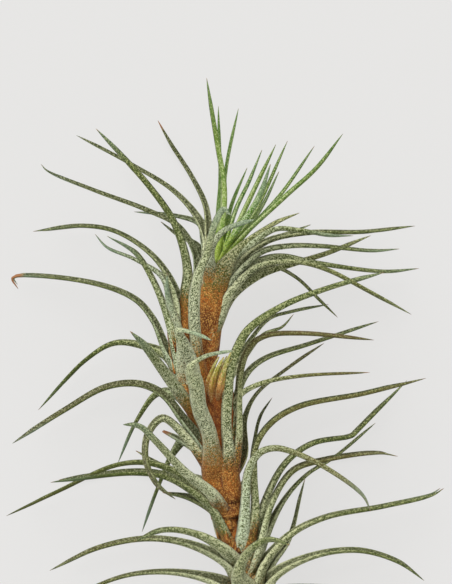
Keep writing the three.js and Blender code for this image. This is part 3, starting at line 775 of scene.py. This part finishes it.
def leaf(form, layers, name, shape, line, common):
    """One leaf, whose section goes from a wide thin sheath to a narrow channelled blade."""
    width, heights, route = shape
    *looks, channel_turn = leaf_looks(name)
    base = dict(common, **LEAF_FORMS.get(name, {}))
    points, inward = leaf_points(heights, route, line, base, STANDS_AT.get(name))
    if points[-1].x < points[0].x:
        channel_turn = -channel_turn

    def ring(distance, length):
        share = distance / length
        sheathed = math.exp(-(distance / base["length"]) ** base["power"])
        deep = math.exp(-(distance / SHEATH_DEPTH_LENGTH) ** 2)
        fullness = min(1, length / SHEATHED_LENGTH)
        blade = max(NARROWEST_BLADE, width * between(base["profile"], share))
        blade *= min(1, (length - distance) / base["tip"] + TIP_BLUNTNESS) ** TIP_POWER
        opened = between(((0, base["foot"]), (max(base["down"], 1), 1)), distance)
        wide = blade + max(0, base["width"] * opened * fullness - blade) * sheathed
        sheath_bow = SHEATH_BOW * fullness * (base["width"] / COMMON_FORM["width"])
        bow = BLADE_DEPTH * blade * (1 - deep) + sheath_bow * deep
        thickness = BLADE_THICKNESS * blade * (1 - sheathed) + SHEATH_THICKNESS * sheathed
        off = 0.5 * bow * (1 - sheathed)
        turn = channel_turn * (1 - sheathed)
        living = (distance / base["dry"]) ** base["sharp"]

        def values_of(across, outer):
            return (distance, length - distance, living, 0.0 if outer else 1.0, abs(across), *looks)

        return [
            (aside * math.cos(turn) + inwards * math.sin(turn),
             inwards * math.cos(turn) - aside * math.sin(turn), values)
            for aside, inwards, values in crescent(wide / 2, bow, thickness, off, values_of)
        ]

    follow(form, points, inward, (len(points) - 1) * LEAF_STEPS_PER_SPAN, LEAF_AROUND, ring, layers)


def leafy_piece(name, shapes, stem_name, material, node, common=COMMON_FORM):
    """All the leaves of a shoot, which stand for its solid."""
    form = bmesh.new()
    layers = [form.verts.layers.float.new(layer) for layer in LEAF_LAYERS]
    line = stem_line(stem_name)
    for key, shape in shapes.items():
        leaf(form, layers, key, shape, line, common)
    piece = finished_piece(form, name, [material])
    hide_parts(node)


def leaf_skin(name, colours, cover, roughness):
    """A leaf's skin: its green shows between silvery scales, its inner side is barer and painted darker
    for the shade in its channel, its base is dry, and its margin is a pale line. cover is how much
    the scales hide, from 0 to 1."""
    skin = new_material(name)
    mix, spread, maths = shading(skin)
    hexes = {part: linear(colour) for part, colour in dict(SHARED_COLOURS, **colours).items()}
    value = {}
    for layer in LEAF_LAYERS:
        value[layer] = add(skin, "ShaderNodeAttribute", {}, attribute_name=layer).outputs["Fac"]
    from_root = value["from_root"]
    place = add(skin, "ShaderNodeTexCoord", {}).outputs["Object"]
    clouds = add(skin, "ShaderNodeTexNoise", {
        "Vector": place, "Scale": 1000 / LEAF_PATCHES, "Detail": 3.0,
    }).outputs["Fac"]
    scales = add(skin, "ShaderNodeTexVoronoi", {"Vector": place, "Scale": 1000 / SCALE_SPACING}).outputs
    chance = add(skin, "ShaderNodeSeparateColor", {"Color": scales["Color"]}).outputs

    # Skin: green in lighter and darker patches, and duller further out
    shade = maths("ADD", clouds, maths("MULTIPLY", value["tint"], 0.12))
    green = mix(spread(shade, 0.3, 0.7, 0.0, 1.0), hexes["deep"], hexes["green"])
    green = mix(spread(from_root, 10, 28, 0.0, 0.7), green, hexes["outer"])

    # The ends of blue-grey leaves are smoother and greyer
    greyer = maths("MULTIPLY", value["blue"], spread(value["to_tip"], 4, 10, 1.2, 0.0))
    green = mix(greyer, green, hexes["grey_skin"])

    # Scales: brightest on the scaliest leaves, and worn yellow-green further out
    scaliest = maths("MULTIPLY", value["scaly"], 3.0)
    silver = mix(value["blue"], hexes["silver"], hexes["blue"])
    brighter = maths("MAXIMUM", maths("MULTIPLY", scaliest, chance["Blue"]), 0.0)
    silver = mix(brighter, silver, hexes["bright_scale"])
    wear = maths("SUBTRACT", spread(from_root, 8, 34, 0.0, 1.0), scaliest)
    worn = mix(maths("MAXIMUM", wear, 0.0), silver, hexes["worn"])
    worn = mix(greyer, worn, hexes["grey_scale"])

    # They stand thickest near the base and along the margins
    denser = maths("MULTIPLY", value["scaly"], spread(from_root, 22, 36, 1.0, 1.6))
    thick = maths("ADD", spread(from_root, 8, 32, cover, cover - 0.27), denser)
    rim = spread(value["rim"], 0.86, 1.0, 0.0, 0.4)
    margin = maths("MULTIPLY", rim, spread(from_root, 10, 34, 1.0, 0.3))
    crowded = maths("ADD", chance["Red"], maths("ADD", thick, margin))
    outside = mix(spread(crowded, 0.85, 1.05, 0.0, 1.0), green, worn)

    # The channel is barer of scales, and its skin is painted darker for the shade that falls in it
    inside = mix(spread(chance["Green"], 0.6, 0.9, 0.0, 0.5), hexes["channel"], hexes["silver"])
    blade = mix(maths("MULTIPLY", value["inner"], 0.85), outside, inside)

    # Some leaves turn brown further out
    brown = maths("MULTIPLY", value["brown"], spread(from_root, 18, 36, 0.0, 1.0))
    brown = maths("MULTIPLY", brown, spread(chance["Blue"], 0.2, 0.8, 0.3, 0.9))
    browned = mix(brown, blade, hexes["brown_skin"])

    # Dry base: darkest at its foot, in patches, with pale scales and dark pits
    reach = maths("ADD", value["living"], maths("MULTIPLY", clouds, 0.5))
    stops = ((0.1, colours["base_dark"]), (0.5, colours["base"]), (1.0, colours["base_pale"]))
    mottled = spread(clouds, 0.36, 0.58, 0.65, 0.0)
    duller = maths("ADD", mottled, maths("MULTIPLY", value["brown"], 0.5))
    cloudy = mix(duller, ramp(skin, reach, stops), hexes["base_dark"])
    flecked = mix(spread(chance["Green"], 0.5, 0.8, 0.0, 0.95), cloudy, hexes["base_fleck"])
    pitted = mix(spread(chance["Blue"], 0.58, 0.82, 0.0, 0.75), flecked, hexes["base_dark"])

    # It gives way to the living blade scale by scale, and the tip is dead
    alive = maths("SUBTRACT", reach, maths("MULTIPLY", chance["Red"], 0.9))
    based = mix(spread(alive, 0.2, 0.5, 0.0, 1.0), pitted, browned)
    past_dead = maths("SUBTRACT", value["to_tip"], value["dry"])
    tipped = mix(spread(past_dead, -0.6, 0.6, 1.0, 0.0), based, hexes["dead_tip"])

    relief = add(skin, "ShaderNodeBump", {
        "Height": scales["Distance"], "Strength": 0.45, "Distance": 0.00008,
    })
    shader = coat(skin, tipped, relief, roughness, specular=0.3)
    shader.inputs["Sheen Weight"].default_value = 0.05
    return skin


# Grown leaf: matte grey-green, because silvery water-drinking scales stand on its olive skin.
grown_leaf = leaf_skin("grown leaf under silvery scales", {
    "green": "#556220", "deep": "#333d10", "outer": "#424e18", "channel": "#303512",
    "silver": "#d8d9ac", "blue": "#c6d4b6", "worn": "#9ea469",
    "base_dark": "#4f2009", "base": "#bb671b", "base_pale": "#8a7636", "base_fleck": "#dba352",
}, cover=0.45, roughness=0.7)

tall_shapes = all_sides(TALL_LEAVES, FAR_SIDE, UNDER_LEAVES, stem_line("tall"))
leafy_piece("tall_shoot_leaves", tall_shapes, "tall", grown_leaf, "tall_shoot")

# Leaves of the left shoot
# A side shoot that leaves the tall one low down and goes up beside it. Its leaves are like the
# tall shoot's, and go up, left and to the front.
LEFT_LEAVES = {
    "U1": [1.6, [24.6, 28.4, 31], [
        [-8.2, 3], [-8.2, 11], [-7.6, 18.5], [-10.1, 27.4], [-15.2, 34.95], [-25.67, 46.4],
    ]],
    "U4": [1.2, [22, 19, 18], [
        [-7.4, 6], [-6.2, 15], [-5.9, 21], [-9.2, 26.8], [-15.35, 30.05], [-26.6, 34.3], [-35.6, 38.1],
        [-36.8, 39.4],
    ]],
    "L4": [1.2, [24.6, 27.2, 26], [
        [-8.9, 3.5], [-9.6, 11.9], [-13.4, 19.9], [-21.2, 25.6], [-28.2, 27], [-38.25, 25.9],
    ]],
    "L5": [0.75, [21.4, 17, 14], [[-8.9, 6], [-12.3, 16.35], [-18, 20.3], [-23.7, 22.8], [-26, 25.4]]],
    "L6": [1.6, [23.4, 24.6, 24], [
        [-7, -7], [-9.8, 1], [-11.3, 8], [-14.3, 15.9], [-18, 21.7], [-23.5, 25],
    ]],
    "L7": [1.4, [22.6, 23, 22], [
        [-6.6, -9], [-9.2, -3.4], [-12, 2.4], [-14.3, 8], [-18, 12.3], [-27.2, 15.7], [-42.4, 16.6],
        [-41.3, 14.4],
    ]],
    "F0": [1.9, [24.6, 32, 38], [[-7.8, -4.5], [-9.3, 6.5], [-11.4, 13], [-11.4, 17.6]]],
    "L8": [2.4, [23.8, 35, 47], [
        [-4.6, -14.5], [-6.4, -11.4], [-8.1, -8.2], [-12.6, -1.6], [-16.4, 3.6], [-18.7, 6],
    ]],
    "L9": [1.3, [21.4, 18, 14.5], [
        [-7.2, -5.6], [-11.6, 0.4], [-16.4, 2.9], [-22.1, 3.5], [-27.9, 0.1], [-37.4, -9.9],
    ]],
    "L11": [0.8, [21.4, 16, 11], [
        [-5.6, -11.6], [-9.7, -7.3], [-13.2, -6.6], [-17.4, -11.7], [-21.4, -20.5],
    ]],
}
FAR_SIDE_LEFT = ["U1", "L4", "L6", "L7", "L9"]

left_shapes = all_sides(LEFT_LEAVES, FAR_SIDE_LEFT, 0, stem_line("left"))
leafy_piece("left_shoot_leaves", left_shapes, "left", grown_leaf, "left_shoot")

# Leaves of the short shoot
# A young shoot in front of the stem, on its right, with few grown leaves, which arch to the right.
SHORT_LEAVES = {
    "R9": [2.1, [29.6, 33, 28], [
        [0.9, -21], [0.6, -13], [0.8, -7], [1.2, -2.5], [2.7, 2.4], [4.9, 6.2], [11.4, 10.8],
        [20.1, 14.3], [31.9, 17.7],
    ]],
    "R12": [1.5, [27.4, 30, 30], [
        [3.2, -22], [3, -15], [2.9, -7], [3.5, -1], [5.3, 3.1], [8.3, 5], [15.1, 5.5], [29.85, 4.2],
    ]],
    "R13": [1.2, [27.4, 26.4, 25], [
        [1, -15.5], [2.6, -8.4], [3.7, -4.2], [5.6, -1.4], [8.9, 0.8], [16.5, 3.2], [30.8, 7.9],
    ]],
    "R15": [1.1, [27.4, 30, 31], [
        [0.8, -17], [1.2, -10.6], [3.2, -6.8], [7.3, -4.5], [15.1, -3], [29, -2.25],
    ]],
}

leafy_piece("short_shoot_leaves", SHORT_LEAVES, "short", grown_leaf, "short_shoot")

# Heart of the tall shoot
# The youngest leaves stand close together at the growing tip. They are bright yellow-green, with
# few scales yet, and palest where they leave the heart.
TALL_HEART_LEAVES = {
    "H1": [1.2, [27.2, 28, 28], [[-1.5, 19.4], [-0.1, 27.6], [0, 35.4], [-1.3, 43.2], [-3.57, 56.57]]],
    "H2": [0.8, [25.6, 24.4, 23], [[-1.2, 20.4], [-1, 30.3], [-0.75, 36], [-1.22, 51]]],
    "H3": [0.8, [26.2, 25.6, 24], [[-0.6, 20.4], [0.2, 36.9], [2.8, 50.5]]],
    "H4": [0.7, [25, 22.6, 21], [[-0.2, 20.6], [1.25, 30.2], [4.55, 38.67]]],
    "H5": [1.0, [26.6, 26.2, 25.4], [[-0.2, 19.6], [2.3, 30.05], [5, 36], [7.5, 42.2]]],
    "H6": [1.2, [26.6, 27.6, 28.6], [[0, 20], [4.2, 30.4], [10.26, 43.25]]],
    "H7": [1.6, [27.2, 29.8, 31.4], [[-0.6, 19.6], [2.3, 25], [7, 32.8], [9.2, 39.3]]],
    "H8": [0.9, [26.2, 26, 26], [[0.6, 20.4], [6.1, 29.7], [12.6, 44]]],
    "H9": [0.8, [25.2, 23.4, 22], [[0.6, 20], [7.2, 30.2], [10.9, 37.9]]],
    "H10": [1.2, [26.8, 29, 29], [[0.5, 19.6], [4.85, 25.9], [12.2, 32.9], [18.5, 38.65], [23.65, 45.4]]],
    "H11": [0.9, [26, 25.4, 25], [[0.7, 19.8], [5.5, 26.6], [11.7, 33.8], [18, 43]]],
}

# They stand free of the stem on narrow feet
HEART_FORM = dict(
    COMMON_FORM, width=2.1, length=8.0, off=0.0, down=0.0, profile=((0, 1.2), (1, 0.6)), tip=6.0)

# Young leaf: satin yellow-green, its skin still showing between few scales.
heart_leaf = leaf_skin("young heart leaf", {
    "green": "#76922c", "deep": "#43721a", "outer": "#455d1a", "channel": "#416616",
    "silver": "#c3cf92", "blue": "#b4c6a4", "worn": "#98a75c",
    "base_dark": "#9db53e", "base": "#a9bf48", "base_pale": "#8fae42", "base_fleck": "#c6d57c",
}, cover=0.35, roughness=0.55)

leafy_piece("tall_heart_leaves", TALL_HEART_LEAVES, "tall_heart", heart_leaf, "tall_heart",
            HEART_FORM)

# Tuft of the short shoot
# Short spikes of new leaves, yellow-green above a tan base, wedged between the grown leaves.
SHORT_HEART_LEAVES = {
    "T1": [1.6, [30.6, 32.2, 32.4], [[-2.9, -10.4], [-3, -4.9], [-2.3, -1.8], [-1.05, 0.9]]],
    "T2": [1.8, [31.6, 33.2, 33.8], [[-2.3, -11.6], [-2.3, -5.4], [-1.4, -2], [-0.1, 0.8]]],
    "T3": [1.5, [31, 32.2, 31.8], [[-1.5, -11.8], [-1.4, -5.4], [-0.6, -1.8], [0.5, 1]]],
    "T4": [1.8, [32, 33.6, 34.4], [[-0.7, -12], [-0.7, -5.6], [0.1, -1.8], [1.3, 1.8]]],
    "T5": [1.5, [31, 32.4, 33.4], [[0.1, -11.6], [0, -5], [0.9, -1.2], [2.1, 1.4]]],
    "T6": [1.0, [31.8, 33.8, 33.4], [[-2.6, -10.6], [-2.6, -5.2], [-1.8, -2], [-0.7, 0.2]]],
    "T7": [1.0, [32.2, 34.2, 33.6], [[-1.2, -12], [-0.9, -5.6], [0.2, -1.8], [1.6, 0.6]]],
}

# New leaf: satin yellow-green drying to tan at its base.
tuft_leaf = leaf_skin("new tuft leaf", {
    "green": "#a8a036", "deep": "#7c7c24", "outer": "#8f8e30", "channel": "#77702a",
    "silver": "#dad091", "blue": "#b6c3a0", "worn": "#d0c578",
    "base_dark": "#8a4416", "base": "#c98a42", "base_pale": "#b3a048", "base_fleck": "#e0bf80",
}, cover=0.3, roughness=0.5)

leafy_piece("short_heart_leaves", SHORT_HEART_LEAVES, "short_heart", tuft_leaf, "short_heart",
            HEART_FORM)

# Surface and light
# A pale matt surface under soft light from all round, so that hardly any shadow shows on it.
SURFACE_HALF = 6.0
SURFACE_DROP = 0.2 * MM

floor_form = bmesh.new()
bmesh.ops.create_grid(floor_form, x_segments=1, y_segments=1, size=SURFACE_HALF)
bmesh.ops.translate(floor_form, verts=floor_form.verts, vec=(0, 0, -SURFACE_DROP))
floor_mesh = bpy.data.meshes.new("surface")
floor_form.to_mesh(floor_mesh)
floor_form.free()
floor = bpy.data.objects.new("surface", floor_mesh)
bpy.context.scene.collection.objects.link(floor)

# Matt pale surface: it glows a little, so that it stays even and hardly shows a shadow.
pale_surface = new_material("matt pale surface")
shader = pale_surface.node_tree.nodes["Principled BSDF"]
shader.inputs["Base Color"].default_value = linear("#626261")
shader.inputs["Roughness"].default_value = 1.0
shader.inputs["Specular IOR Level"].default_value = 0.0
shader.inputs["Emission Color"].default_value = linear("#e5e4e3")
shader.inputs["Emission Strength"].default_value = 0.83
floor_mesh.materials.append(pale_surface)

world = bpy.data.worlds.new("soft light")
world.use_nodes = True
sky = world.node_tree.nodes["Background"]
sky.inputs["Color"].default_value = linear("#f8f8f6")
sky.inputs["Strength"].default_value = 0.6
bpy.context.scene.world = world

# A broad soft lamp up and to the left, which hardly casts a shadow
LAMP_FROM = Vector((-0.35, 0.75, 1.0))
lamp_data = bpy.data.lights.new("soft lamp", "SUN")
lamp_data.energy = 2.7
lamp_data.angle = math.radians(50)
lamp = bpy.data.objects.new("soft lamp", lamp_data)
lamp.rotation_euler = LAMP_FROM.to_track_quat("Z", "Y").to_euler()
bpy.context.scene.collection.objects.link(lamp)

bpy.context.scene.view_settings.view_transform = "Standard"
